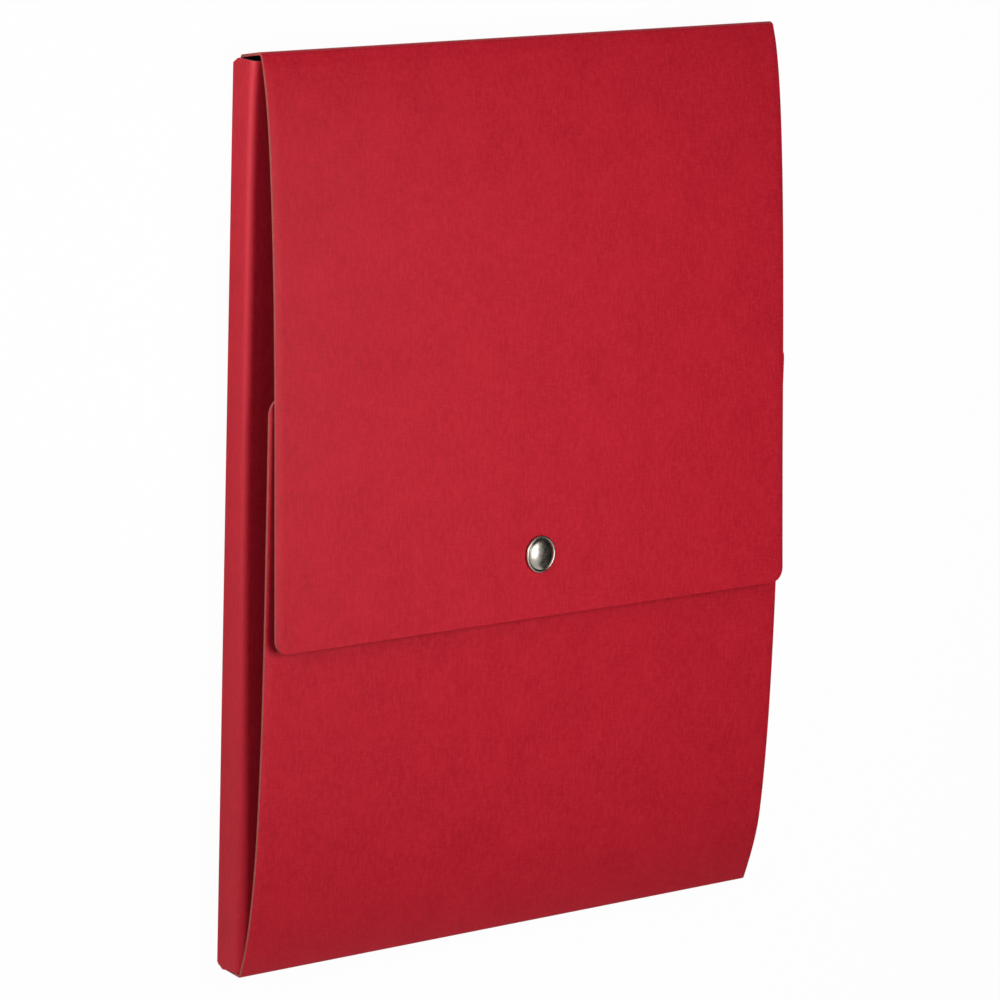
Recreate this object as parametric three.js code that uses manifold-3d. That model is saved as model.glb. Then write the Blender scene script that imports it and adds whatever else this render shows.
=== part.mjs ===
// Snap closure portfolio: one creased board folded into a shallow case, with a closing flap and a press stud.
// Lengths are millimetres and angles are degrees. The case lies on its back: X runs across its width, Y from the
// bottom fold to the top fold, and Z out of its front. The case is drawn with Y counted from the bottom fold.

import * as THREE from 'three';
import { mergeVertices } from 'three/addons/utils/BufferGeometryUtils.js';
import Module from 'manifold-3d';

const wasm = await Module();
wasm.setup();

// Case
const caseWidth = 228.6;
const caseHeight = 304.8;
const boardThickness = 1.0;
const slitGap = 0.3;
const creaseRadius = 1.0;

// Bottom, side and top gussets
const bottomGussetDepth = 13.2;
const sideGussetDepth = 12.2;
const topGussetDepth = 13.9;
const topGussetLift = 9.3;
const topCreaseRadius = 2.0;
const sideBackCreaseRadius = 1.0;
const sideFrontCreaseRadius = 2.0;
const bottomGussetInset = 2.6;
const topGussetInset = 3.5;
const sideLowerSlope = 0.9;
const sideUpperGap = 0.6;
const sideUpperSlope = 0.4;
const notchRise = 2.0;
const notchDepth = 3.0;

// Side flaps folded in behind the front panel
const sideFlapWidth = 60;
const sideFlapSpring = 2.5;
const sideFlapTaper = 13;

// Front panel
const frontPanelHeight = 196;
const frontPanelSpring = 21.5;
const frontPanelStandoff = 9.9;
const frontPanelCornerRadius = 6;
const frontPanelLowerBend = 30;
const frontPanelUpperBend = 99;

// Closing flap
const flapLowerEdge = 111.3;
const flapInset = 1.2;
const flapSpring = 21.5;
const flapLipGap = 4.2;
const flapLipKick = 2.8;
const flapUpperBend = 27;
const flapLowerBend = 59;
const flapCornerRadius = 5;

// Press stud
const snapAboveEdge = 21.7;
const capDiameter = 12.7;
const capDomeHeight = 2.3;
const capRimWidth = 0.9;
const capRimHeight = 1.1;
const capShell = 0.35;
const capRimCurl = 165;
const capDomeFootAngle = 10;
const capDomeCrownAngle = 80;
const seatGap = 0.15;
const runningGap = 0.3;
const postDiameter = 3.8;
const postWall = 0.4;
const socketDiameter = 10.2;
const socketWall = 0.4;
const socketCavityDiameter = 6.8;
const socketMouthDiameter = 5.0;
const springWireDiameter = 0.5;
const springOpening = 60;
const studFlangeDiameter = 9.6;
const studFlangeThickness = 0.5;
const studHeadDiameter = 4.1;
const studNeckDiameter = 3.6;
const eyeletDiameter = 2.7;
const eyeletWall = 0.35;
const eyeletFlangeDiameter = 9.6;
const eyeletFlangeThickness = 0.4;

const snapHeight = flapLowerEdge + snapAboveEdge;

// How finely curves are drawn
const arcSteps = 6;
const bendSteps = 20;
const roundSteps = 48;
const profileSteps = 8;

// A margin for cutters, which reach past what they cut
const past = 5;

const redBoard = new THREE.MeshStandardMaterial({ color: 0xb5242f, roughness: 0.7, metalness: 0 });
const nickel = new THREE.MeshStandardMaterial({ color: 0x9a948c, roughness: 0.25, metalness: 1 });
const springSteel = new THREE.MeshStandardMaterial({ color: 0xa8a8a6, roughness: 0.35, metalness: 1 });

const radians = THREE.MathUtils.degToRad;
const point = (x, y) => new THREE.Vector2(x, y);
const heading = (degrees) => point(Math.cos(radians(degrees)), Math.sin(radians(degrees)));
const halfWidth = caseWidth / 2;

// Closed meshes to solids and back

function toSolid(geometry) {
  const bare = geometry.index ? geometry.toNonIndexed() : geometry.clone();
  bare.deleteAttribute('normal');
  bare.deleteAttribute('uv');
  const merged = mergeVertices(bare, 1e-5);
  const mesh = new wasm.Mesh({
    numProp: 3,
    vertProperties: new Float32Array(merged.attributes.position.array),
    triVerts: new Uint32Array(merged.index.array),
  });
  return new wasm.Manifold(mesh);
}

function toGeometry(solid) {
  const mesh = solid.getMesh();
  const geometry = new THREE.BufferGeometry();
  geometry.setAttribute('position', new THREE.BufferAttribute(mesh.vertProperties, 3));
  geometry.setIndex(new THREE.BufferAttribute(mesh.triVerts, 1));
  geometry.computeVertexNormals();
  return geometry;
}

// Prisms. Each outline is a list of points in the plane that the prism is seen in.

const axisX = new THREE.Vector3(1, 0, 0);
const axisY = new THREE.Vector3(0, 1, 0);
const axisZ = new THREE.Vector3(0, 0, 1);

function prism(outline, length) {
  return new THREE.ExtrudeGeometry(new THREE.Shape(outline), { depth: length, bevelEnabled: false });
}

// An outline of (y, z) points, drawn out along X between two places
function prismAlongX(outline, from, to) {
  const geometry = prism(outline, to - from);
  geometry.translate(0, 0, from);
  geometry.applyMatrix4(new THREE.Matrix4().makeBasis(axisY, axisZ, axisX));
  return toSolid(geometry);
}

// An outline of (x, z) points, drawn out along Y between two places
function prismAlongY(outline, from, to) {
  const geometry = prism(outline, to - from);
  geometry.translate(0, 0, -to);
  geometry.applyMatrix4(new THREE.Matrix4().makeBasis(axisX, axisZ, axisY.clone().negate()));
  return toSolid(geometry);
}

// An outline of (x, y) points, drawn out along Z between two places
function prismAlongZ(outline, from, to) {
  const geometry = prism(outline, to - from);
  geometry.translate(0, 0, from);
  return toSolid(geometry);
}

// The same solid on the other side of the case
function mirrored(solid) {
  return solid.mirror([1, 0, 0]);
}

// Board sections

// Points of the arc that rounds a corner, from the leg that comes in to the leg that goes out
function roundedCorner(before, corner, after, radius) {
  const inward = before.clone().sub(corner).normalize();
  const outward = after.clone().sub(corner).normalize();
  const halfAngle = Math.acos(THREE.MathUtils.clamp(inward.dot(outward), -1, 1)) / 2;
  const legLength = radius / Math.tan(halfAngle);
  const start = corner.clone().addScaledVector(inward, legLength);
  const bisector = inward.clone().add(outward).normalize();
  const centre = corner.clone().addScaledVector(bisector, radius / Math.sin(halfAngle));
  const sweep = Math.PI - 2 * halfAngle;
  const turn = Math.sign(inward.clone().negate().cross(outward));
  const points = [];
  for (let step = 0; step <= arcSteps; step += 1) {
    points.push(start.clone().rotateAround(centre, turn * sweep * step / arcSteps));
  }
  return points;
}

// The line that lies one board thickness inside an outer line, which keeps the case on its left
function innerLine(outer) {
  return outer.map((here, index) => {
    const before = outer[Math.max(index - 1, 0)];
    const after = outer[Math.min(index + 1, outer.length - 1)];
    const comeIn = (index > 0 ? here.clone().sub(before) : after.clone().sub(here)).normalize();
    const goOut = (index < outer.length - 1 ? after.clone().sub(here) : comeIn.clone()).normalize();
    const leftIn = point(-comeIn.y, comeIn.x);
    const leftOut = point(-goOut.y, goOut.x);
    const across = leftIn.clone().add(leftOut).normalize();
    return here.clone().addScaledVector(across, boardThickness / across.dot(leftIn));
  });
}

// Where a folded sheet is parted at a moving crease, each side ends on the mitre, half a slit away from it
function mitreEnd(corner, ownNeighbour, otherNeighbour, radius) {
  const own = ownNeighbour.clone().sub(corner).normalize();
  const other = otherNeighbour.clone().sub(corner).normalize();
  const bisector = own.clone().add(other).normalize();
  const sinHalf = Math.abs(own.cross(bisector));
  const setBack = slitGap / 2 / sinHalf;
  const apex = corner.clone().addScaledVector(bisector, radius / sinHalf - radius);
  const inside = corner.clone().addScaledVector(bisector, boardThickness / sinHalf);
  return {
    outer: apex.addScaledVector(own, setBack),
    inner: inside.addScaledVector(own, setBack),
  };
}

// The half of a rounded corner that lies on one side of the mitre
function halfArc(before, corner, after, radius, firstHalf) {
  const arc = roundedCorner(before, corner, after, radius);
  const middle = arcSteps / 2;
  return firstHalf ? arc.slice(0, middle) : arc.slice(middle + 1);
}

// The place on a curved panel at a given Y: its outer height, and how far its face leans towards the top
function onPanel(line, y) {
  const index = line.findIndex((here, i) => i > 0 && (line[i - 1].x - y) * (here.x - y) <= 0);
  const before = line[index - 1];
  const after = line[index];
  const share = (y - before.x) / (after.x - before.x);
  const slope = (after.y - before.y) / (after.x - before.x);
  return { height: before.y + share * (after.y - before.y), lean: Math.atan(-slope) };
}

// Corners of the case as it is seen from its side, in (y, z)

const bottomFront = point(0, bottomGussetDepth);
const bottomBack = point(0, 0);
const topBack = point(caseHeight, 0);
const gussetHeading = heading(90 - topGussetLift);
const topFront = topBack.clone().addScaledVector(gussetHeading, topGussetDepth);

// The front panel springs out from the bottom crease and straightens towards its free edge.
const frontEdge = point(frontPanelHeight, bottomGussetDepth + frontPanelStandoff);
const frontBend = new THREE.CubicBezierCurve(
  bottomFront,
  bottomFront.clone().addScaledVector(heading(frontPanelSpring), frontPanelLowerBend),
  frontEdge.clone().addScaledVector(heading(180), frontPanelUpperBend),
  frontEdge,
);
const frontLine = frontBend.getPoints(bendSteps);

// The closing flap springs out from the top crease and ends a finger's gap in front of the front panel.
const flapEdge = point(flapLowerEdge, onPanel(frontLine, flapLowerEdge).height + flapLipGap + boardThickness);
const flapBend = new THREE.CubicBezierCurve(
  topFront,
  topFront.clone().addScaledVector(heading(180 - flapSpring), flapUpperBend),
  flapEdge.clone().addScaledVector(heading(-flapLipKick), flapLowerBend),
  flapEdge,
);
const flapLine = flapBend.getPoints(bendSteps);

// Folded board

function sheetSection() {
  const panelDown = [...frontLine].reverse().slice(0, -1);
  const bottomArc = roundedCorner(panelDown.at(-1), bottomFront, bottomBack, creaseRadius);
  const backArc = roundedCorner(bottomFront, bottomBack, topBack, creaseRadius);
  const topArc = halfArc(bottomBack, topBack, topFront, creaseRadius, true);
  const topEnd = mitreEnd(topBack, bottomBack, topFront, creaseRadius);
  const inner = innerLine([...panelDown, bottomFront, bottomBack, topBack]).slice(0, -1);
  return [...panelDown, ...bottomArc, ...backArc, ...topArc, topEnd.outer, topEnd.inner, ...inner.reverse()];
}

function sideSection() {
  const start = point(halfWidth - sideBackCreaseRadius - past, 0);
  const backCorner = point(halfWidth, 0);
  const frontCorner = point(halfWidth, sideGussetDepth);
  const end = frontCorner.clone().addScaledVector(heading(180 - sideFlapSpring), sideFlapWidth);
  const backArc = roundedCorner(start, backCorner, frontCorner, sideBackCreaseRadius);
  const frontArc = roundedCorner(backCorner, frontCorner, end, sideFrontCreaseRadius);
  const outer = [start, ...backArc, ...frontArc, end];
  return [...outer, ...innerLine(outer).reverse()];
}

// What the side gusset keeps, seen from the side: its ends clear the other gussets and are notched at the back
function sideOutline() {
  const low = boardThickness + slitGap;
  const high = caseHeight - sideUpperGap;
  const front = sideGussetDepth + sideFlapWidth;
  return [
    point(low + notchRise, -past),
    point(low + notchRise, 0),
    point(low, notchDepth),
    point(low + sideLowerSlope, sideGussetDepth),
    point(low + sideLowerSlope, front),
    point(high - sideUpperSlope, front),
    point(high - sideUpperSlope, sideGussetDepth),
    point(high, notchDepth),
    point(high - notchRise, 0),
    point(high - notchRise, -past),
  ];
}

// What the side flap keeps, seen from the front: its ends taper so that it folds in freely
function sideFlapOutline() {
  const crease = halfWidth - sideFrontCreaseRadius;
  const reach = sideFlapWidth + past;
  const taper = sideFlapTaper * reach / sideFlapWidth;
  return [
    point(halfWidth + past, -past),
    point(halfWidth + past, caseHeight + past),
    point(crease, caseHeight + past),
    point(crease, caseHeight - sideUpperGap - sideUpperSlope),
    point(crease - reach, caseHeight - sideUpperGap - sideUpperSlope - taper),
    point(crease - reach, boardThickness + slitGap + sideLowerSlope + taper),
    point(crease, boardThickness + slitGap + sideLowerSlope),
    point(crease, -past),
  ];
}

// The waste outside a corner rounded in the plane of a panel, seen from the front
function cornerWaste(x, y, radius, upper) {
  const way = upper ? 1 : -1;
  const outline = [point(x + past, y + way * past), point(x - radius, y + way * past), point(x - radius, y)];
  for (let step = 1; step <= arcSteps; step += 1) {
    const angle = Math.PI / 2 * (1 - step / arcSteps);
    outline.push(point(x - radius + radius * Math.cos(angle), y - way * radius + way * radius * Math.sin(angle)));
  }
  outline.push(point(x + past, y - way * radius));
  return outline;
}

function foldedBoard(studPlace) {
  const gussetInset = [
    point(halfWidth - bottomGussetInset, -past),
    point(halfWidth + past, -past),
    point(halfWidth + past, bottomGussetDepth),
    point(halfWidth, bottomGussetDepth),
    point(halfWidth - bottomGussetInset, 0),
  ];
  const backTrim = [
    point(halfWidth - sideBackCreaseRadius - slitGap, -past),
    point(halfWidth + past, -past),
    point(halfWidth + past, boardThickness + slitGap / 2),
    point(halfWidth - sideBackCreaseRadius - slitGap, boardThickness + slitGap / 2),
  ];
  const lip = boardThickness + slitGap / 2;
  const frontWaste = cornerWaste(halfWidth, frontPanelHeight, frontPanelCornerRadius, true);
  const aboveSides = bottomGussetDepth + frontPanelStandoff / 2;
  const waste = prismAlongY(gussetInset, -past, lip)
    .add(prismAlongY(backTrim, lip, caseHeight + past))
    .add(prismAlongZ(frontWaste, aboveSides, aboveSides + frontPanelStandoff + past));
  const side = prismAlongY(sideSection(), 0, caseHeight)
    .intersect(prismAlongX(sideOutline(), 0, halfWidth + past))
    .intersect(prismAlongZ(sideFlapOutline(), -past, sideGussetDepth + sideFlapWidth));
  return prismAlongX(sheetSection(), -halfWidth, halfWidth)
    .subtract(waste)
    .subtract(mirrored(waste))
    .add(side)
    .add(mirrored(side))
    .subtract(rivetHole(studPlace, eyeletDiameter));
}

// Top gusset

function topGusset() {
  const backEnd = mitreEnd(topBack, topFront, bottomBack, creaseRadius);
  const frontEnd = mitreEnd(topFront, topBack, flapLine[1], topCreaseRadius);
  const section = [
    backEnd.outer,
    ...halfArc(bottomBack, topBack, topFront, creaseRadius, false),
    ...halfArc(topBack, topFront, flapLine[1], topCreaseRadius, true),
    frontEnd.outer,
    frontEnd.inner,
    backEnd.inner,
  ];
  const backHalf = halfWidth - topGussetInset;
  const frontHalf = halfWidth - flapInset;
  const outline = [
    point(-backHalf, -past),
    point(backHalf, -past),
    point(backHalf, 0),
    point(frontHalf, topFront.y),
    point(frontHalf, topFront.y + past),
    point(-frontHalf, topFront.y + past),
    point(-frontHalf, topFront.y),
    point(-backHalf, 0),
  ];
  return prismAlongX(section, -halfWidth, halfWidth)
    .intersect(prismAlongY(outline, caseHeight - past, topFront.x + past));
}

// Closing flap

function closingFlap(capPlace) {
  const topEnd = mitreEnd(topFront, flapLine[1], topBack, topCreaseRadius);
  const bend = flapLine.slice(1);
  const outer = [topEnd.outer, ...halfArc(topBack, topFront, flapLine[1], topCreaseRadius, false), ...bend];
  const inner = innerLine(flapLine).slice(1);
  const half = halfWidth - flapInset;
  const waste = prismAlongZ(cornerWaste(half, flapLowerEdge, flapCornerRadius, false), 0, flapEdge.y + past);
  return prismAlongX([...outer, ...inner.reverse(), topEnd.inner], -half, half)
    .subtract(waste)
    .subtract(mirrored(waste))
    .subtract(rivetHole(capPlace, postDiameter));
}

// Press stud
// Both halves are turned about the board's own normal. Their heights count from the board's outer face.

const capPlace = onPanel(flapLine, snapHeight);
const studPlace = onPanel(frontLine, snapHeight);
const boardGap = capPlace.height - studPlace.height - boardThickness / Math.cos(capPlace.lean);

function turned(profile) {
  const geometry = new THREE.LatheGeometry(profile.map(([radius, height]) => point(radius, height)), roundSteps);
  geometry.rotateX(Math.PI / 2);
  return geometry;
}

// The punched hole that a rivet goes through, with the slit's clearance around it
function rivetHole(place, rivetDiameter) {
  const geometry = new THREE.CylinderGeometry(
    rivetDiameter / 2 + slitGap / 2,
    rivetDiameter / 2 + slitGap / 2,
    4 * boardThickness,
    roundSteps,
  );
  geometry.rotateX(Math.PI / 2);
  geometry.rotateX(-place.lean);
  geometry.translate(0, snapHeight, place.height - boardThickness / 2);
  return toSolid(geometry);
}

// Points of an arc from one angle to another, for a turned profile
function profileArc(radius, height, across, up, from, to) {
  const points = [];
  for (let step = 0; step <= profileSteps; step += 1) {
    const angle = radians(from + (to - from) * step / profileSteps);
    points.push([radius + across * Math.cos(angle), height + up * Math.sin(angle)]);
  }
  return points;
}

const capRadius = capDiameter / 2;
const domeRadius = capRadius - capRimWidth;
const domeFoot = seatGap + capRimHeight - capRimWidth / 2;
const domeRise = seatGap + capDomeHeight - domeFoot;

// A domed shell with a rolled rim that is closed in round the flange of the post
function snapCap() {
  const innerRadius = domeRadius - capShell / 2;
  const rimMiddle = capRadius - capRimWidth / 2;
  const underDome = profileArc(
    0,
    domeFoot - capShell,
    innerRadius,
    domeRise,
    capDomeCrownAngle,
    capDomeFootAngle,
  );
  const rimInside = underDome.at(-1)[0];
  const mouth = domeRadius - capRimWidth;
  return turned([
    [0, domeFoot - capShell + domeRise],
    ...underDome,
    [rimInside, seatGap + capShell],
    [mouth, seatGap + capShell],
    [mouth, seatGap],
    [capRadius - capShell / 2, seatGap],
    ...profileArc(rimMiddle, domeFoot, capRimWidth / 2, capRimWidth / 2, 0, capRimCurl),
    ...profileArc(0, domeFoot, domeRadius, domeRise, capDomeFootAngle, capDomeCrownAngle),
    [0, domeFoot + domeRise],
  ]);
}

// The ring spring's middle line stands a little inside the socket's mouth, where it grips the stud.
const springRadius = socketMouthDiameter / 2 + springWireDiameter / 2 - seatGap / 2;

// A tubular rivet: its flange sits in the cap, and its end is flared over the socket, inside the ring spring
function snapCapPost() {
  const outer = postDiameter / 2;
  const bore = outer - postWall;
  const flangeRadius = domeRadius - capRimWidth - seatGap;
  const flangeTop = seatGap + capShell;
  const flareTop = -boardThickness - seatGap - socketWall - seatGap;
  const flareRadius = springRadius - springWireDiameter / 2 - seatGap;
  const profile = [
    [bore, flangeTop],
    [bore, flareTop - postWall],
    [flareRadius, flareTop - postWall],
    [flareRadius, flareTop],
    [outer, flareTop],
    [outer, seatGap],
    [flangeRadius, seatGap],
    [flangeRadius, flangeTop],
    [bore, flangeTop],
  ];
  return turned(profile);
}

const socketTop = -boardThickness - seatGap;
const socketBottom = -boardThickness - boardGap + seatGap + studFlangeThickness + runningGap;

// A ring with a cavity for the spring and a mouth for the stud's head
function snapSocket() {
  const outer = socketDiameter / 2;
  const hole = postDiameter / 2 + seatGap;
  const cavity = socketCavityDiameter / 2;
  const mouth = socketMouthDiameter / 2;
  const profile = [
    [hole, socketTop],
    [hole, socketTop - socketWall],
    [cavity, socketTop - socketWall],
    [cavity, socketBottom + socketWall],
    [mouth, socketBottom + socketWall],
    [mouth, socketBottom],
    [outer - socketWall, socketBottom],
    [outer, socketBottom + socketWall],
    [outer, socketTop],
    [hole, socketTop],
  ];
  return turned(profile);
}

// A split ring of round wire, which lies in the socket's cavity round the stud
function snapSocketSpring() {
  const height = socketBottom + socketWall + seatGap + springWireDiameter / 2;
  const first = radians(springOpening / 2);
  const last = 2 * Math.PI - first;
  const ring = new THREE.Curve();
  ring.getPoint = (share) => {
    const angle = first + (last - first) * share;
    return new THREE.Vector3(springRadius * Math.cos(angle), springRadius * Math.sin(angle), height);
  };
  const wire = new THREE.Shape();
  wire.absarc(0, 0, springWireDiameter / 2, 0, 2 * Math.PI);
  return new THREE.ExtrudeGeometry(wire, { steps: 32, curveSegments: 4, extrudePath: ring });
}

// A flange on the front panel, with a neck and a wider head that the socket grips
function snapStud() {
  const bore = eyeletDiameter / 2 + seatGap;
  const neck = studNeckDiameter / 2;
  const head = studHeadDiameter / 2;
  const flange = studFlangeDiameter / 2;
  const flangeTop = seatGap + studFlangeThickness;
  const top = boardGap - 3 * seatGap - socketWall - postWall - runningGap;
  const profile = [
    [bore, seatGap],
    [flange, seatGap],
    [flange, flangeTop],
    [neck, flangeTop],
    [neck, (flangeTop + top) / 2],
    [head, top - postWall],
    [head - postWall / 2, top],
    [bore, top],
    [bore, seatGap],
  ];
  return turned(profile);
}

// A tubular rivet from inside the front panel, which holds the stud
function snapEyelet() {
  const outer = eyeletDiameter / 2;
  const bore = outer - eyeletWall;
  const flange = eyeletFlangeDiameter / 2;
  const flangeTop = -boardThickness - seatGap;
  const top = boardGap - 4 * seatGap - socketWall - postWall - runningGap;
  const profile = [
    [bore, flangeTop - eyeletFlangeThickness],
    [flange, flangeTop - eyeletFlangeThickness],
    [flange, flangeTop],
    [outer, flangeTop],
    [outer, top],
    [bore, top],
    [bore, flangeTop - eyeletFlangeThickness],
  ];
  return turned(profile);
}

// The whole portfolio

function named(name, geometry, material) {
  const mesh = new THREE.Mesh(geometry, material);
  mesh.name = name;
  return mesh;
}

function snapHalf(place, ...meshes) {
  const half = new THREE.Group();
  half.position.set(0, snapHeight, place.height);
  half.rotation.x = -place.lean;
  half.add(...meshes);
  return half;
}

const portfolio = new THREE.Group();
portfolio.add(
  named('folded_board', toGeometry(foldedBoard(studPlace)), redBoard),
  named('top_gusset', toGeometry(topGusset()), redBoard),
  named('closing_flap', toGeometry(closingFlap(capPlace)), redBoard),
  snapHalf(
    capPlace,
    named('snap_cap', snapCap(), nickel),
    named('snap_cap_post', snapCapPost(), nickel),
    named('snap_socket', snapSocket(), nickel),
    named('snap_socket_spring', snapSocketSpring(), springSteel),
  ),
  snapHalf(
    studPlace,
    named('snap_stud', snapStud(), nickel),
    named('snap_eyelet', snapEyelet(), nickel),
  ),
);

// The origin is under the middle of the case.
const extent = new THREE.Box3().setFromObject(portfolio);
portfolio.position.y = -(extent.min.y + extent.max.y) / 2;

export default portfolio;
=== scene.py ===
# %% [markdown]
# # A snap closure portfolio, folded from one blank of red board
# The case is a sheet of board, die-cut flat and folded along creases: a back panel, a bottom gusset and a
# front panel below it, a gusset and an inner flap at each side, and a top gusset with a long closing
# flap. A press stud holds the flap. This lesson cuts the same flat blank, folds it with a small node
# tree, turns the press stud's pieces from their profiles, and lights them as in a studio. The case lies
# on its back, and every length is in metres.

# %% Load the frame
import math

import bmesh
import bpy
import numpy as np
from mathutils import Matrix, Vector


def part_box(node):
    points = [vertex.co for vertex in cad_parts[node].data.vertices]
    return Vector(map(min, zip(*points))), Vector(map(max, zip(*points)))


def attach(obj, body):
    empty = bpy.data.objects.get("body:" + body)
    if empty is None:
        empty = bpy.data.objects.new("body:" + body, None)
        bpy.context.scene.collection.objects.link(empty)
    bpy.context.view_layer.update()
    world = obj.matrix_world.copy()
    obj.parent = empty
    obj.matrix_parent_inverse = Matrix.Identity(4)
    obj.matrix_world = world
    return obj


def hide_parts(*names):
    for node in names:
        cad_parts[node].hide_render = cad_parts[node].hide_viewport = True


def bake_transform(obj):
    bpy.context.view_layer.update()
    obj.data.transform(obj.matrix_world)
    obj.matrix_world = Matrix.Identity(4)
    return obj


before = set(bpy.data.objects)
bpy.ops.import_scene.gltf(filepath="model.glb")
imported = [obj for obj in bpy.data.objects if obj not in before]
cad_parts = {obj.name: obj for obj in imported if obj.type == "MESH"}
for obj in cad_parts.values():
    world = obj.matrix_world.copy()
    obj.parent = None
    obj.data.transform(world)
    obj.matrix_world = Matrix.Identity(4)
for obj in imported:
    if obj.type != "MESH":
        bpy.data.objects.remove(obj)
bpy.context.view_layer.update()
MM = 0.001

# %% [markdown]
# ## Sizes
# A folder is described by its creases. Seen from the side, in the plane of Y and Z, the board's outer
# face is one line: it starts at the front panel's free edge, goes down to the bottom gusset, along the
# back, up the top gusset and down the closing flap. The board springs at its creases, so both front
# panels are gentle bows. A cubic Bezier curve with its end directions given describes such a bow in four
# points.

# %% Driving dimensions
case_width = 228.6 * MM
case_height = 304.8 * MM
board = 1.0 * MM
crease_radius = 1.0 * MM
soft_crease_radius = 2.0 * MM
side_fold_radius = 3.0 * MM
bottom_gusset_depth = 13.2 * MM
side_gusset_depth = 12.2 * MM
top_gusset_depth = 13.9 * MM
top_gusset_lift = 9.3
front_panel_height = 196 * MM
front_panel_standoff = 9.9 * MM
front_panel_spring = 21.5
front_panel_bends = (30 * MM, 99 * MM)
flap_lower_edge = 111.3 * MM
flap_lip_gap = 4.2 * MM
flap_spring = 21.5
flap_lip_kick = 2.8
flap_bends = (27 * MM, 59 * MM)
bottom_gusset_inset = 2.6 * MM
top_gusset_inset = 3.5 * MM
flap_inset = 1.2 * MM
front_corner_radius = 6 * MM
flap_corner_radius = 5 * MM
side_flap_width = 60 * MM
side_flap_spring = 2.5
side_flap_taper = 13 * MM
half_width = case_width / 2
bottom_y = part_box("folded_board")[0][1]
print("the bottom fold is at y", round(bottom_y, 5))

# %% [markdown]
# ## The fold line
# A sharp corner in the line becomes an arc, because board can't bend to a point: its outer face goes
# round a radius of about one board thickness. Each stretch of the line is noted by name with the length
# at which it begins, so that the flat blank can later be cut at the same places. Many short steps keep
# the line's directions true, which the board's thickness depends on.

# %% Points of arcs and bows
arc_steps = 24
bow_steps = 96


def heading(degrees):
    return np.array([math.cos(math.radians(degrees)), math.sin(math.radians(degrees))])


def unit(vector):
    return vector / np.linalg.norm(vector)


def rounded(before, corner, after, radius):
    """The arc that rounds a corner, from the leg that comes in to the leg that goes out."""
    legs = unit(before - corner), unit(after - corner)
    half_angle = math.acos(float(np.clip(legs[0] @ legs[1], -1, 1))) / 2
    start = corner + legs[0] * radius / math.tan(half_angle)
    centre = corner + unit(legs[0] + legs[1]) * radius / math.sin(half_angle)
    way = math.copysign(1, -legs[0][0] * legs[1][1] + legs[0][1] * legs[1][0])
    points = []
    for angle in np.linspace(0, way * (math.pi - 2 * half_angle), arc_steps + 1):
        turn = np.array([[math.cos(angle), -math.sin(angle)], [math.sin(angle), math.cos(angle)]])
        points.append(centre + turn @ (start - centre))
    return np.array(points)


def bow(start, start_pull, end_pull, end):
    share = np.linspace(0, 1, bow_steps + 1)[:, None]
    return ((1 - share) ** 3 * start + 3 * share * (1 - share) ** 2 * (start + start_pull)
            + 3 * share ** 2 * (1 - share) * (end + end_pull) + share ** 3 * end)


# %% Corners and bows of the case
bottom_front = np.array([0, bottom_gusset_depth])
bottom_back = np.array([0.0, 0.0])
top_back = np.array([case_height, 0])
top_front = top_back + heading(90 - top_gusset_lift) * top_gusset_depth
front_edge = np.array([front_panel_height, bottom_gusset_depth + front_panel_standoff])
front_bow = bow(bottom_front, heading(front_panel_spring) * front_panel_bends[0],
                heading(180) * front_panel_bends[1], front_edge)


def panel_height(y):
    return float(np.interp(y, front_bow[:, 0], front_bow[:, 1]))


flap_edge = np.array([flap_lower_edge, panel_height(flap_lower_edge) + flap_lip_gap + board])
flap_bow = bow(top_front, heading(180 - flap_spring) * flap_bends[0],
               heading(-flap_lip_kick) * flap_bends[1], flap_edge)

# %% The whole line, stretch by stretch
front_down = front_bow[:0:-1]
flap_down = flap_bow[1:]


def clear_of(points, corner, radius):
    """The points that lie outside the arc of a crease."""
    return points[np.linalg.norm(points - corner, axis=1) > 1.2 * radius]


stretches = {
    "front_panel": clear_of(front_down, bottom_front, crease_radius),
    "bottom_front_crease": rounded(front_down[-2], bottom_front, bottom_back, crease_radius),
    "bottom_back_crease": rounded(bottom_front, bottom_back, top_back, crease_radius),
    "top_back_crease": rounded(bottom_back, top_back, top_front, crease_radius),
    "top_front_crease": rounded(top_back, top_front, flap_down[1], soft_crease_radius),
    "closing_flap": clear_of(flap_down, top_front, soft_crease_radius),
}
fold_line = np.vstack(list(stretches.values()))
run = np.concatenate([[0], np.cumsum(np.linalg.norm(np.diff(fold_line, axis=0), axis=1))])
begins, ends, count = {}, {}, 0
for name, points in stretches.items():
    begins[name] = run[count]
    count += len(points)
    ends[name] = run[count - 1]
back_zero = ends["bottom_back_crease"] - stretches["bottom_back_crease"][-1][0]
print("blank length", round(run[-1], 4), {name: round(begins[name], 4) for name in begins})

# %% [markdown]
# The side gusset and its inner flap fold about creases that run the other way, so they have a short line
# of their own, seen from below in the plane of X and Z. It starts at the back panel's edge, which is
# where the two parts of the blank join.

# %% The side fold line
seam = half_width - crease_radius
side_back = np.array([half_width, 0])
side_front = np.array([half_width, side_gusset_depth])
side_end = side_front + heading(180 - side_flap_spring) * side_flap_width
side_line = np.vstack([
    rounded(np.array([seam - 5 * MM, 0]), side_back, side_front, crease_radius),
    rounded(side_back, side_front, side_end, side_fold_radius),
    np.linspace(side_end, side_front, 13)[:12][::-1],
])
side_run = np.concatenate([[0], np.cumsum(np.linalg.norm(np.diff(side_line, axis=0), axis=1))])
print("side line length", round(side_run[-1], 4))


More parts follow.
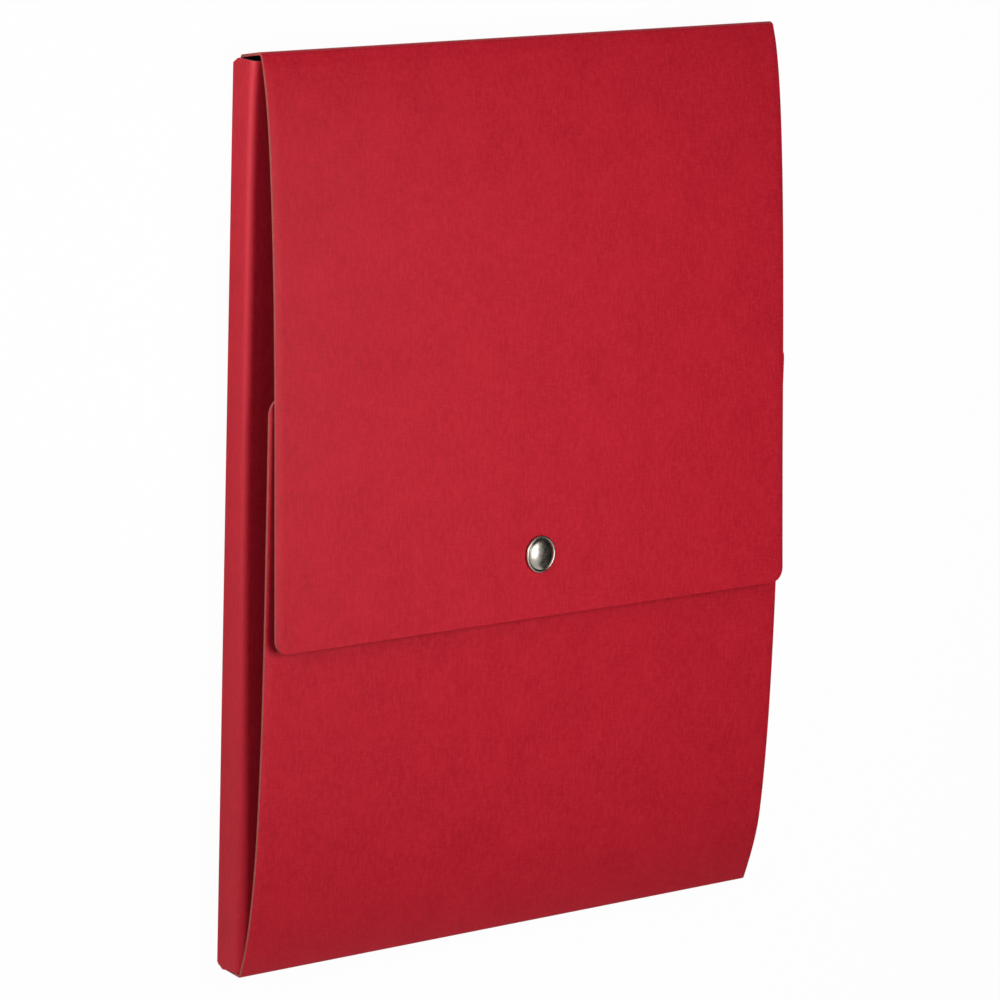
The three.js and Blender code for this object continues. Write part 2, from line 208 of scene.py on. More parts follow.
def line_object(name, points):
    """An open line of straight steps, which the folding tree samples by length."""
    curve = bpy.data.curves.new(name, "CURVE")
    curve.dimensions = "3D"
    spline = curve.splines.new("POLY")
    spline.points.add(len(points) - 1)
    for spline_point, place in zip(spline.points, points):
        spline_point.co = (*place, 1)
    line = bpy.data.objects.new(name, curve)
    bpy.context.scene.collection.objects.link(line)
    return line


long_line = line_object("fold_line", [(0, y, z) for y, z in fold_line])
short_line = line_object("side_fold_line", [(x, 0, z) for x, z in side_line])

# %% [markdown]
# ## The flat blank
# The blank is a grid of four-sided faces in the plane of X and Y: X is across, and Y is the length along
# the fold line. A die cuts it a little narrower at the gussets, so that the folded walls clear each
# other, and rounds the corners of the free edges. Rows of the grid lie close together where the board
# bends and further apart where it is nearly flat. The faces look down, because the printed side of the
# board lies face down while it is folded.

# %% The width of the blank at each place
mid_gusset = (ends["top_back_crease"] + begins["top_front_crease"]) / 2
flap_joint_offset = 3 * MM
flap_start = begins["closing_flap"] + flap_joint_offset
notch_rise = 2.0 * MM
low_notch_rise = 2.4 * MM
wing_low = 0.9 * MM
wing_high_gap = 0.6 * MM
wing_high = case_height - wing_high_gap
seam_rise = 0.6 * MM
seam_start = ends["bottom_back_crease"] + seam_rise
notch_low = wing_low + low_notch_rise
notch_high = wing_high - notch_rise
width_stations = [
    (0, half_width),
    (begins["bottom_front_crease"], half_width),
    (ends["bottom_front_crease"], half_width),
    (begins["bottom_back_crease"], half_width - bottom_gusset_inset),
    (ends["bottom_back_crease"], half_width - bottom_gusset_inset),
    (seam_start, seam),
    (back_zero + notch_high, seam),
    (begins["top_back_crease"], half_width - top_gusset_inset),
    (ends["top_back_crease"], half_width - top_gusset_inset),
    (begins["top_front_crease"], half_width - flap_inset),
    (run[-1], half_width - flap_inset),
]


def blank_half_width(length):
    """The half width of the middle strip, with its free corners rounded."""
    width = float(np.interp(length, *zip(*width_stations)))
    for edge_distance, radius in ((length, front_corner_radius), (run[-1] - length, flap_corner_radius)):
        if edge_distance < radius:
            width -= radius - math.sqrt(max(radius ** 2 - (radius - edge_distance) ** 2, 0))
    return width


# %% Rows and columns of the grid
flat_step = 3 * MM
bend_rows = 12
corner_rows = 10
columns = 64


def evenly(start, stop, step):
    return list(np.linspace(start, stop, max(int(round((stop - start) / step)), 1) + 1))


def corner_places(radius):
    """Distances from a free edge at which rows follow its rounded corners."""
    angles = np.linspace(0, math.pi / 2, corner_rows + 1)
    return radius * (1 - np.cos(angles))


def merged_rows(*groups):
    rows = sorted(float(row) for group in groups for row in group)
    kept = [rows[0]]
    for row in rows[1:]:
        if row - kept[-1] > 1e-6:
            kept.append(row)
    return kept


creases = [name for name in stretches if name.endswith("crease")]
crease_rows = {name: list(np.linspace(begins[name], ends[name], bend_rows + 1)) for name in creases}
back_low = back_zero + notch_low
back_high = back_zero + notch_high
board_rows = merged_rows(
    corner_places(front_corner_radius),
    evenly(front_corner_radius, begins["bottom_front_crease"], flat_step),
    crease_rows["bottom_front_crease"],
    evenly(ends["bottom_front_crease"], begins["bottom_back_crease"], flat_step),
    crease_rows["bottom_back_crease"],
    [seam_start],
    evenly(back_low, back_high, flat_step),
)
back_strip_rows = merged_rows(
    [back_high],
    crease_rows["top_back_crease"],
    evenly(ends["top_back_crease"], mid_gusset, flat_step),
)
front_strip_rows = merged_rows(
    evenly(mid_gusset, begins["top_front_crease"], flat_step),
    crease_rows["top_front_crease"],
    [flap_start],
)
flap_rows = merged_rows(
    evenly(flap_start, run[-1] - flap_corner_radius, flat_step),
    run[-1] - corner_places(flap_corner_radius),
)
print("rows", len(board_rows), len(back_strip_rows), len(front_strip_rows), len(flap_rows))

# %% [markdown]
# The middle strip is a plain grid whose rows are stretched to the blank's width. A wing at each side
# carries the side gusset and the inner flap. Its ends are cut back in steps and tapers, so its rows are
# spread between a low and a high outline. Where the wing meets the back panel both have the same corners,
# so merging them makes one sheet.

# %% The wing's outline
notch_heights = (0, 3.0 * MM, side_gusset_depth)
low_cuts = (low_notch_rise, 0, 0.4 * MM)
high_cuts = (notch_rise, 0, 0.4 * MM)
wing_wall = side_run[2 * arc_steps + 1]
wing_steps = merged_rows(
    side_run[:arc_steps + 1:3],
    evenly(side_run[arc_steps], side_run[arc_steps + 1], 2 * MM),
    side_run[arc_steps + 1:2 * arc_steps + 2:3],
    evenly(wing_wall, side_run[-1], 4 * MM),
)


def wing_outline(distance):
    """The low and high ends of the wing at a distance from its seam, as lengths along the blank."""
    height = float(np.interp(distance, side_run, side_line[:, 1]))
    taper = side_flap_taper * max(distance - wing_wall, 0) / (side_run[-1] - wing_wall)
    low = wing_low + float(np.interp(height, notch_heights, low_cuts)) + taper
    high = wing_high - float(np.interp(height, notch_heights, high_cuts)) - taper
    return back_zero + low, back_zero + high


# %% [markdown]
# A pale line runs along the side fold's outer bend, strongest near the top. It is a painted highlight: a
# lighter red mixed into the paper's colour, fading to nothing at the bottom, on a band whose finish is a
# little smoother. It may be light alone, or paper rubbed smooth where the board was folded. Here it is drawn
# as a rubbed band.
# The blank carries the band as a value that the paper's finish reads, and the value stays with the board when
# it is folded.

# %% Place and reach of the painted highlight band
highlight_band_place = 0.34
highlight_band_reach = 0.40

# %% Grids of corners and faces
def grid_faces(row_count, column_count, first, flip):
    faces = []
    for row in range(row_count - 1):
        for column in range(column_count - 1):
            corner = first + row * column_count + column
            face = (corner, corner + column_count, corner + column_count + 1, corner + 1)
            faces.append(face[::-1] if flip else face)
    return faces


def painted_fold_highlight(mesh):
    """The painted highlight's strength: 1 in the middle of a side fold's outer bend, 0 away from it and at
    the bottom.
    """
    arc_start, arc_end = side_run[arc_steps + 1], side_run[2 * arc_steps + 1]
    middle = arc_start + highlight_band_place * (arc_end - arc_start)
    places = np.array([corner.co for corner in mesh.vertices])
    distance = np.abs(places[:, 0]) - seam
    height = np.clip((places[:, 1] - back_zero) / case_height, 0, 1)
    band = np.clip(1 - np.abs(distance - middle) / (highlight_band_reach * (arc_end - arc_start)), 0, 1)
    values = mesh.attributes.new("painted_fold_highlight", "FLOAT", "POINT")
    values.data.foreach_set("value", band * height)


def blank(name, rows, with_wings=False):
    across = np.linspace(-1, 1, columns + 1)
    corners = [(blank_half_width(row) * share, row, 0) for row in rows for share in across]
    faces = grid_faces(len(rows), len(across), 0, False)
    if with_wings:
        joined = [row for row in rows if back_low - 1e-7 <= row <= back_high + 1e-7]
        for side in (1, -1):
            first = len(corners)
            for row in joined:
                share = (row - joined[0]) / (joined[-1] - joined[0])
                for distance in wing_steps:
                    low, high = wing_outline(distance)
                    corners.append((side * (seam + distance), low + share * (high - low), 0))
            faces += grid_faces(len(joined), len(wing_steps), first, side < 0)
    mesh = bpy.data.meshes.new(name)
    mesh.from_pydata(corners, [], faces)
    merging = bmesh.new()
    merging.from_mesh(mesh)
    bmesh.ops.remove_doubles(merging, verts=merging.verts, dist=1e-7)
    merging.to_mesh(mesh)
    merging.free()
    painted_fold_highlight(mesh)
    piece = bpy.data.objects.new(name, mesh)
    bpy.context.scene.collection.objects.link(piece)
    print(name, "blank faces", len(mesh.polygons))
    return piece


# %% [markdown]
# ## Finishes
# The board is solid fibre board with a matt red cover paper. Close up such paper is never one red: the
# fibres take the colour unevenly, so there are soft clouds about a centimetre wide, a fine fleck of
# lighter and darker fibres, and a tooth that can be felt. Each is a noise of its own size on the piece's
# own Object coordinates, so it stays put when the flap moves. The cut edge shows the brown core in
# layers, and the inside has a dark plain lining.

# %% A small kit for node materials
def new_material(name):
    material = bpy.data.materials.new(name)
    material.use_nodes = True
    tree = material.node_tree
    tree.nodes.clear()
    output = tree.nodes.new("ShaderNodeOutputMaterial")
    shader = tree.nodes.new("ShaderNodeBsdfPrincipled")
    tree.links.new(shader.outputs["BSDF"], output.inputs["Surface"])
    place = tree.nodes.new("ShaderNodeTexCoord").outputs["Object"]
    return material, tree, shader, place


def stretched(tree, place, scale, turn=(0, 0, 0)):
    mapping = tree.nodes.new("ShaderNodeMapping")
    mapping.inputs["Scale"].default_value = scale
    mapping.inputs["Rotation"].default_value = [math.radians(angle) for angle in turn]
    tree.links.new(place, mapping.inputs["Vector"])
    return mapping.outputs["Vector"]


def noise(tree, place, size, detail=3.0, roughness=0.5):
    """Noise whose features are about size metres wide."""
    node = tree.nodes.new("ShaderNodeTexNoise")
    node.inputs["Scale"].default_value = 1 / size
    node.inputs["Detail"].default_value = detail
    node.inputs["Roughness"].default_value = roughness
    tree.links.new(place, node.inputs["Vector"])
    return node.outputs["Fac"]


def spread(tree, value, low, high, out_low, out_high):
    node = tree.nodes.new("ShaderNodeMapRange")
    for key, number in (("From Min", low), ("From Max", high), ("To Min", out_low), ("To Max", out_high)):
        node.inputs[key].default_value = number
    tree.links.new(value, node.inputs["Value"])
    return node.outputs["Result"]


def mixed(tree, share, first, second, blend="MIX"):
    node = tree.nodes.new("ShaderNodeMix")
    node.data_type = "RGBA"
    node.blend_type = blend
    for socket, value in ((node.inputs[0], share), (node.inputs[6], first), (node.inputs[7], second)):
        if isinstance(value, bpy.types.NodeSocket):
            tree.links.new(value, socket)
        else:
            socket.default_value = value if isinstance(value, (int, float)) else (*value, 1)
    return node.outputs[2]


def maths(tree, operation, first, second):
    node = tree.nodes.new("ShaderNodeMath")
    node.operation = operation
    for socket, value in zip(node.inputs, (first, second)):
        if isinstance(value, bpy.types.NodeSocket):
            tree.links.new(value, socket)
        else:
            socket.default_value = value
    return node.outputs[0]


def bump(tree, shader, height, depth, strength=1.0):
    node = tree.nodes.new("ShaderNodeBump")
    node.inputs["Distance"].default_value = depth
    node.inputs["Strength"].default_value = strength
    tree.links.new(height, node.inputs["Height"])
    tree.links.new(node.outputs["Normal"], shader.inputs["Normal"])


# %% Red cover paper
red = (0.485, 0.0105, 0.0245)
deep_red = (0.35, 0.004, 0.015)
light_red = (0.61, 0.020, 0.037)
# A lighter red painted along the side fold's outer bend as a highlight.
painted_highlight_red = (0.72, 0.050, 0.070)


def cover_paper():
    material, tree, shader, place = new_material("red_cover_paper")
    clouds = noise(tree, place, 14 * MM, detail=2)
    fibres_up = noise(tree, stretched(tree, place, (1, 0.22, 1)), 0.8 * MM, detail=4, roughness=0.6)
    fibres_across = noise(tree, stretched(tree, place, (0.25, 1, 0.8), (0, 0, 24)), 0.6 * MM, detail=4)
    upright = maths(tree, "MULTIPLY", fibres_up, 0.6)
    level = maths(tree, "MULTIPLY", fibres_across, 0.4)
    fibres = maths(tree, "ADD", upright, level)
    colour = mixed(tree, spread(tree, clouds, 0.3, 0.7, 0, 0.35), red, deep_red)
    colour = mixed(tree, spread(tree, fibres, 0.42, 0.62, 0, 0.50), colour, light_red)
    specks = noise(tree, place, 1.6 * MM, detail=1)
    colour = mixed(tree, spread(tree, specks, 0.70, 0.78, 0, 0.4), colour, deep_red)
    # Painted highlight: the fold band mixes the lighter red into the paper's colour, and its finish is a
    # little smoother.
    highlight_band = tree.nodes.new("ShaderNodeAttribute")
    highlight_band.attribute_name = "painted_fold_highlight"
    colour = mixed(tree, highlight_band.outputs["Fac"], colour, painted_highlight_red)
    tree.links.new(colour, shader.inputs["Base Color"])
    roughness = spread(tree, fibres, 0.3, 0.7, 0.40, 0.54)
    smoothing = maths(tree, "MULTIPLY", highlight_band.outputs["Fac"], 0.12)
    tree.links.new(maths(tree, "SUBTRACT", roughness, smoothing), shader.inputs["Roughness"])
    shader.inputs["Specular IOR Level"].default_value = 0.15
    bump(tree, shader, fibres, 0.05 * MM)
    return material


# %% Cut edge and lining
core_dark = (0.24, 0.055, 0.045)
core_light = (0.46, 0.135, 0.105)
core_blotch = (0.36, 0.055, 0.05)
lining_dark = (0.016, 0.014, 0.013)
lining_light = (0.034, 0.029, 0.026)
lining_cloud = (0.012, 0.010, 0.010)


def cut_edge():
    material, tree, shader, place = new_material("cut_edge")
    layers = noise(tree, place, 0.25 * MM, detail=3, roughness=0.6)
    blotches = noise(tree, place, 3 * MM, detail=2)
    colour = mixed(tree, spread(tree, layers, 0.35, 0.65, 0, 1), core_dark, core_light)
    colour = mixed(tree, spread(tree, blotches, 0.4, 0.7, 0, 0.5), colour, core_blotch)
    tree.links.new(colour, shader.inputs["Base Color"])
    shader.inputs["Roughness"].default_value = 0.85
    shader.inputs["Specular IOR Level"].default_value = 0.2
    bump(tree, shader, layers, 0.06 * MM)
    return material


def lining_paper():
    material, tree, shader, place = new_material("dark_lining")
    clouds = noise(tree, place, 11 * MM, detail=2)
    fibres = noise(tree, stretched(tree, place, (1, 0.3, 1)), 0.7 * MM, detail=4, roughness=0.6)
    colour = mixed(tree, spread(tree, fibres, 0.35, 0.65, 0, 1), lining_dark, lining_light)
    colour = mixed(tree, spread(tree, clouds, 0.3, 0.7, 0, 0.3), colour, lining_cloud)
    tree.links.new(colour, shader.inputs["Base Color"])
    tree.links.new(spread(tree, fibres, 0.3, 0.7, 0.6, 0.75), shader.inputs["Roughness"])
    shader.inputs["Specular IOR Level"].default_value = 0.25
    bump(tree, shader, fibres, 0.03 * MM)
    return material


paper, edge, lining = cover_paper(), cut_edge(), lining_paper()
print("board finishes", paper.name, edge.name, lining.name)

# %% [markdown]
# ## The folding tree
# A node tree folds the blank. For each corner it reads the place and the direction of the fold line at
# the corner's length, and puts the corner there. Past the seam it reads the side line instead. The
# direction, turned by a right angle, points out of the case, and it is kept as an attribute: the sheet is
# extruded into a wall of board along it, so the thickness is true all round each crease. Real board is
# never quite flat, so the two free panels also get a slight waviness. The flap's twist, the front panel's
# lift at the right and the side wall's bow follow the photograph's outline.

# %% Node helpers for the folding tree
def node(tree, kind, **settings):
    made = tree.nodes.new(kind)
    for key, value in settings.items():
        setattr(made, key, value)
    return made


def feed(tree, made, **values):
    """Links or sets inputs, named as on the node with _ for a blank, or by n and the input's number."""
    for key, value in values.items():
        numbered = key[0] == "n" and key[1:].isdigit()
        socket = made.inputs[int(key[1:]) if numbered else key.replace("_", " ")]
        if isinstance(value, bpy.types.NodeSocket):
            tree.links.new(value, socket)
        else:
            socket.default_value = value
    return made


def calculate(tree, operation, *values):
    made = node(tree, "ShaderNodeMath", operation=operation)
    return feed(tree, made, **{f"n{index}": value for index, value in enumerate(values)}).outputs[0]


def vector(tree, x=0.0, y=0.0, z=0.0):
    return feed(tree, node(tree, "ShaderNodeCombineXYZ"), X=x, Y=y, Z=z).outputs[0]


def parts(tree, value):
    return feed(tree, node(tree, "ShaderNodeSeparateXYZ"), Vector=value).outputs


def scaled(tree, value, by):
    return feed(tree, node(tree, "ShaderNodeVectorMath", operation="SCALE"), n0=value, Scale=by).outputs[0]


def compared(tree, operation, first, second):
    made = node(tree, "FunctionNodeCompare", data_type="FLOAT", operation=operation)
    return feed(tree, made, A=first, B=second).outputs[0]


def both(tree, first, second):
    return feed(tree, node(tree, "FunctionNodeBooleanMath", operation="AND"), n0=first, n1=second).outputs[0]


def sampled(tree, line, length):
    """Place and direction of a line object at a length."""
    shape = feed(tree, node(tree, "GeometryNodeObjectInfo"), Object=line).outputs["Geometry"]
    sample = feed(tree, node(tree, "GeometryNodeSampleCurve", mode="LENGTH"), Curves=shape, Length=length)
    return parts(tree, sample.outputs["Position"]), parts(tree, sample.outputs["Tangent"])


# %% How far out the side wall's front fold stands
# Shares of the case's height from the bottom, and shares of the side gusset's depth less a half.
wall_depths = (
    (0.0, 0.620), (0.10, 0.600), (0.30, 0.475), (0.52, 0.380),
    (0.75, 0.375), (0.93, 0.400), (1.0, 0.490),
)


def shape_curve(made, places):
    curve = made.mapping.curves[0]
    curve.points[0].location, curve.points[1].location = places[0], places[-1]
    for place in places[1:-1]:
        curve.points.new(*place)
    made.mapping.update()


# %% The tree
def folding_tree():
    tree = bpy.data.node_groups.new("fold_the_blank", "GeometryNodeTree")
    sockets = {
        "Geometry": ("Blank",),
        "Object": ("Fold Line", "Side Line"),
        "Float": ("Seam", "Back Zero", "Bottom", "Thickness", "Front Crease", "Flap Crease", "Flap Length",
                  "Waviness", "Twist", "Half Width", "Case Height", "Panel Twist"),
        "Material": ("Paper", "Edge", "Lining"),
    }
    for kind, names in sockets.items():
        for socket_name in names:
            tree.interface.new_socket(name=socket_name, in_out="INPUT", socket_type=f"NodeSocket{kind}")
    tree.interface.new_socket(name="Board", in_out="OUTPUT", socket_type="NodeSocketGeometry")
    given = node(tree, "NodeGroupInput").outputs
    across, along, _ = parts(tree, node(tree, "GeometryNodeInputPosition").outputs[0])

    place, direction = sampled(tree, given["Fold Line"], along)
    middle = vector(tree, across, calculate(tree, "ADD", place[1], given["Bottom"]), place[2])
    middle_out = vector(tree, 0.0, direction[2], calculate(tree, "MULTIPLY", direction[1], -1.0))

    reach = calculate(tree, "SUBTRACT", calculate(tree, "ABSOLUTE", across), given["Seam"])
    side = calculate(tree, "SIGN", across)
    place, direction = sampled(tree, given["Side Line"], reach)
    up_the_back = calculate(tree, "SUBTRACT", along, given["Back Zero"])
    wing_y = calculate(tree, "ADD", up_the_back, given["Bottom"])
    bowed = node(tree, "ShaderNodeFloatCurve")
    shape_curve(bowed, wall_depths)
    feed(tree, bowed, Value=calculate(tree, "DIVIDE", up_the_back, given["Case Height"]))
    depth = calculate(tree, "MULTIPLY", place[2], calculate(tree, "ADD", bowed.outputs[0], 0.5))
    wing = vector(tree, calculate(tree, "MULTIPLY", place[0], side), wing_y, depth)
    wing_out = vector(tree, calculate(tree, "MULTIPLY", direction[2], side), 0.0,
                      calculate(tree, "MULTIPLY", direction[0], -1.0))

    on_back = compared(tree, "GREATER_THAN", along, given["Back Zero"])
    past_seam = compared(tree, "GREATER_THAN", reach, 1e-6)
    before_flap = compared(tree, "LESS_THAN", up_the_back, given["Case Height"])
    is_wing = both(tree, both(tree, on_back, past_seam), before_flap)

    def choose(wing_value, middle_value):
        made = node(tree, "GeometryNodeSwitch", input_type="VECTOR")
        return feed(tree, made, n0=is_wing, n1=middle_value, n2=wing_value).outputs[0]

    flap_way = calculate(tree, "SUBTRACT", along, given["Flap Crease"])
    front_way = calculate(tree, "SUBTRACT", given["Front Crease"], along)
    fade = 25 * MM
    free = []
    for way in (flap_way, front_way):
        made = node(tree, "ShaderNodeMapRange", interpolation_type="SMOOTHSTEP")
        feed(tree, made, Value=way, From_Min=0.0, From_Max=fade, To_Min=0.0, To_Max=1.0)
        free.append(made.outputs[0])
    wave = feed(tree, node(tree, "ShaderNodeTexNoise"), Scale=16.0, Detail=1.0, Roughness=0.4).outputs[0]
    wave = calculate(tree, "MULTIPLY", calculate(tree, "SUBTRACT", wave, 0.5), given["Waviness"])
    wave = calculate(tree, "MULTIPLY", wave, calculate(tree, "ADD", *free))
    lean = calculate(tree, "DIVIDE", flap_way, given["Flap Length"])
    lean = calculate(tree, "POWER", calculate(tree, "MAXIMUM", lean, 0.0), 3.0)
    lean = calculate(tree, "MULTIPLY", lean, calculate(tree, "DIVIDE", across, given["Half Width"]))
    right_share = calculate(tree, "MAXIMUM", calculate(tree, "DIVIDE", across, given["Half Width"]), 0.0)
    panel_lean = calculate(tree, "MULTIPLY", free[1], calculate(tree, "POWER", right_share, 2.0))
    lean = calculate(tree, "MULTIPLY", lean, given["Twist"])
    lean = calculate(tree, "ADD", lean, calculate(tree, "MULTIPLY", panel_lean, given["Panel Twist"]))
    offset = calculate(tree, "ADD", wave, lean)

    outward = choose(wing_out, middle_out)
    kept = feed(tree, node(tree, "GeometryNodeStoreNamedAttribute", data_type="FLOAT_VECTOR"),
                Geometry=given["Blank"], Name="outward", Value=outward)
    kept_offset = feed(tree, node(tree, "GeometryNodeStoreNamedAttribute", data_type="FLOAT"),
                       Geometry=kept.outputs[0], Name="offset", Value=offset)
    folded = feed(tree, node(tree, "GeometryNodeSetPosition"), Geometry=kept_offset.outputs[0],
                  Position=choose(wing, middle))
    out = feed(tree, node(tree, "GeometryNodeInputNamedAttribute", data_type="FLOAT_VECTOR"), Name="outward")
    lift = feed(tree, node(tree, "GeometryNodeInputNamedAttribute", data_type="FLOAT"), Name="offset")
    lifted = feed(tree, node(tree, "GeometryNodeSetPosition"), Geometry=folded.outputs[0],
                  Offset=scaled(tree, out.outputs[0], lift.outputs[0]))
    face = feed(tree, node(tree, "GeometryNodeSetMaterial"), Geometry=lifted.outputs[0],
                Material=given["Paper"])

    wall = feed(tree, node(tree, "GeometryNodeExtrudeMesh", mode="FACES"), Mesh=face.outputs[0],
                Offset_Scale=0.0, Individual=False)
    inside = feed(tree, node(tree, "GeometryNodeSetPosition"), Geometry=wall.outputs["Mesh"],
                  Selection=wall.outputs["Top"],
                  Offset=scaled(tree, out.outputs[0], calculate(tree, "MULTIPLY", given["Thickness"], -1.0)))
    inside = feed(tree, node(tree, "GeometryNodeSetMaterial"), Geometry=inside.outputs[0],
                  Selection=wall.outputs["Top"], Material=given["Lining"])
    inside = feed(tree, node(tree, "GeometryNodeSetMaterial"), Geometry=inside.outputs[0],
                  Selection=wall.outputs["Side"], Material=given["Edge"])
    inside = feed(tree, node(tree, "GeometryNodeFlipFaces"), Mesh=inside.outputs[0])
    joined = node(tree, "GeometryNodeJoinGeometry")
    tree.links.new(face.outputs[0], joined.inputs[0])
    tree.links.new(inside.outputs[0], joined.inputs[0])
    merged = feed(tree, node(tree, "GeometryNodeMergeByDistance"), Geometry=joined.outputs[0], Distance=1e-6)
    real = feed(tree, node(tree, "GeometryNodeRealizeInstances"), Geometry=merged.outputs[0])
    result = node(tree, "NodeGroupOutput")
    tree.links.new(real.outputs[0], result.inputs[0])
    return tree


fold_tree = folding_tree()
print("folding tree nodes", len(fold_tree.nodes))

# %% Fold a blank and keep the plain mesh
fold_inputs = {
    "Fold Line": long_line, "Side Line": short_line, "Seam": seam, "Back Zero": back_zero, "Bottom": bottom_y,
    "Thickness": board, "Front Crease": begins["bottom_front_crease"], "Flap Crease": begins["closing_flap"],
    "Flap Length": run[-1] - begins["closing_flap"], "Waviness": 0.35 * MM, "Twist": 0.9 * MM,
    "Half Width": half_width, "Case Height": case_height, "Panel Twist": 1.3 * MM,
    "Paper": paper, "Edge": edge, "Lining": lining,
}


def applied(piece):
    """Turns a piece's modifiers into its plain mesh."""
    evaluated = piece.evaluated_get(bpy.context.evaluated_depsgraph_get())
    mesh = bpy.data.meshes.new_from_object(evaluated)
    piece.modifiers.clear()
    piece.data = mesh
    return mesh


def fold(piece):
    modifier = piece.modifiers.new("fold", "NODES")
    modifier.node_group = fold_tree
    for item in fold_tree.interface.items_tree:
        if item.in_out == "INPUT" and item.name in fold_inputs:
            modifier[item.identifier] = fold_inputs[item.name]
    mesh = applied(piece)
    print(piece.name, "folded faces", len(mesh.polygons), "finishes", [m.name for m in mesh.materials])
    return mesh


# %% [markdown]
# A die presses the board's edge as it cuts, so the edge is slightly rounded. A bevel on the edges between
# the paper and the cut face does that. The ends where two pieces of the same board meet are left sharp,
# so that no groove shows between them.

# %% Round the cut edges
cut_rounding = 0.16 * MM


def round_cut_edges(piece, joint_rows=()):
    """joint_rows are pairs of (y, z) points on the mitre where this piece ends against the next."""
    work = bmesh.new()
    work.from_mesh(piece.data)
    edge_slot = piece.data.materials.find(edge.name)

    def on_joint(face):
        centre = face.calc_center_median()
        return any(abs((centre - at).dot(way)) < 0.02 * MM for at, way in joint_rows)

    rims = {face for face in work.faces if face.material_index == edge_slot and not on_joint(face)}
    sharp = [line for line in work.edges
             if len(line.link_faces) == 2 and len(rims.intersection(line.link_faces)) == 1
             and not any(face.material_index == edge_slot and face not in rims for face in line.link_faces)]
    bmesh.ops.bevel(work, geom=sharp, offset=cut_rounding, offset_type="OFFSET", segments=2, profile=0.6,
                    affect="EDGES", clamp_overlap=True)
    bmesh.ops.remove_doubles(work, verts=work.verts, dist=2e-6)
    work.to_mesh(piece.data)
    work.free()
    piece.data.shade_smooth()
    piece.data.set_sharp_from_angle(angle=math.radians(38))
    print(piece.name, "finished faces", len(piece.data.polygons))


# %% [markdown]
# ## The board, in four pieces of one sheet
# The blank is one sheet, but the top gusset and the flap move, so the blank is cut into four at places that
# the eye can't find: in the flat of the back panel, in the middle of the top gusset and just past the flap's
# crease.
# The two strips with a crease stay where they are folded.

# %% Places where the pieces meet
def joint_at(length):
    """A point on the fold line and the direction along it, at a length."""
    index = int(np.clip(np.searchsorted(run, length), 1, len(run) - 1))
    share = (length - run[index - 1]) / (run[index] - run[index - 1])
    y, z = fold_line[index - 1] + share * (fold_line[index] - fold_line[index - 1])
    way = unit(fold_line[index] - fold_line[index - 1])
    return Vector((0, y + bottom_y, z)), Vector((0, way[0], way[1]))


back_joint, gusset_joint, flap_joint = (joint_at(length) for length in (back_high, mid_gusset, flap_start))

# %% Cut, fold and finish the pieces
pieces = {
    "portfolio_board": (board_rows, (back_joint,)),
    "top_back_fold": (back_strip_rows, (back_joint, gusset_joint)),
    "top_front_fold": (front_strip_rows, (gusset_joint, flap_joint)),
    "portfolio_flap": (flap_rows, (flap_joint,)),
}
made = {}
for name, (rows, joints) in pieces.items():
    made[name] = blank(name, rows, with_wings=name == "portfolio_board")
    fold(made[name])
    round_cut_edges(made[name], joints)
for line in (long_line, short_line):
    bpy.data.objects.remove(line)


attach(made["portfolio_board"], "root")
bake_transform(made["top_back_fold"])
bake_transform(made["top_front_fold"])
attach(made["portfolio_flap"], "flap")
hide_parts("folded_board")
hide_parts("top_gusset")
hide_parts("closing_flap")

# %% [markdown]
# ## The press stud
# Each metal piece is pressed or drawn round, so it is a profile turned about the stud's own axis: a cap
# with a rolled rim, the rivet that holds it, a socket with a ring spring, and below them a stud and its
# eyelet. The two halves lean with the board that they are set in. The metal is a satin nickel plate. Its
# fine turning marks run round the dome, so the noise is stretched round the stud's axis with the piece's
# own UV map, in which one way goes round and the other goes out along the profile.

# %% Nickel and spring wire
def nickel(name, colour, rough, marks):
    material, tree, shader, _ = new_material(name)
    uv = tree.nodes.new("ShaderNodeTexCoord").outputs["UV"]
    turning = noise(tree, stretched(tree, uv, (6, 1600, 1)), 1.0, detail=2)
    haze = noise(tree, stretched(tree, uv, (9, 500, 1)), 1.0, detail=3)
    tint = mixed(tree, spread(tree, haze, 0.35, 0.65, 0, 1), colour, tuple(0.93 * part for part in colour))
    tree.links.new(tint, shader.inputs["Base Color"])
    shader.inputs["Metallic"].default_value = 1.0
    tree.links.new(spread(tree, haze, 0.3, 0.7, rough - 0.05, rough + 0.08), shader.inputs["Roughness"])
    bump(tree, shader, turning, marks, 0.4)
    return material


nickel_plate = nickel("nickel_plate", colour=(0.37, 0.34, 0.295), rough=0.25, marks=0.0015 * MM)
spring_wire = nickel("spring_wire", colour=(0.55, 0.55, 0.54), rough=0.30, marks=0.002 * MM)

# %% Sizes of the press stud
snap_above_edge = 21.7 * MM
snap_y = flap_lower_edge + snap_above_edge
cap_diameter = 12.7 * MM
cap_radius = cap_diameter / 2
cap_dome_height = 2.3 * MM
cap_rim_width = 0.9 * MM
cap_rim_height = 1.1 * MM
sheet_metal = 0.35 * MM
seat_gap = 0.15 * MM
running_gap = 0.3 * MM
post_radius = 1.9 * MM
socket_radius = 5.1 * MM
socket_wall = 0.4 * MM
socket_shoulder = 0.7 * MM
socket_base_inset = 1.4 * MM
cavity_radius = 3.4 * MM
mouth_radius = 2.5 * MM
wire_radius = 0.25 * MM
flange_radius = 4.8 * MM
stud_flange = 0.5 * MM
stud_head_radius = 2.05 * MM
stud_neck_radius = 1.8 * MM
eyelet_radius = 1.35 * MM
eyelet_wall = 0.35 * MM
eyelet_flange = 0.4 * MM


def on_bow(points, y):
    """Height of a bow's outer face at y, and how far the face leans towards the top."""
    order = np.argsort(points[:, 0])
    height = float(np.interp(y, points[order, 0], points[order, 1]))
    ahead = float(np.interp(y + MM, points[order, 0], points[order, 1]))
    behind = float(np.interp(y - MM, points[order, 0], points[order, 1]))
    return height, math.atan2(behind - ahead, 2 * MM)


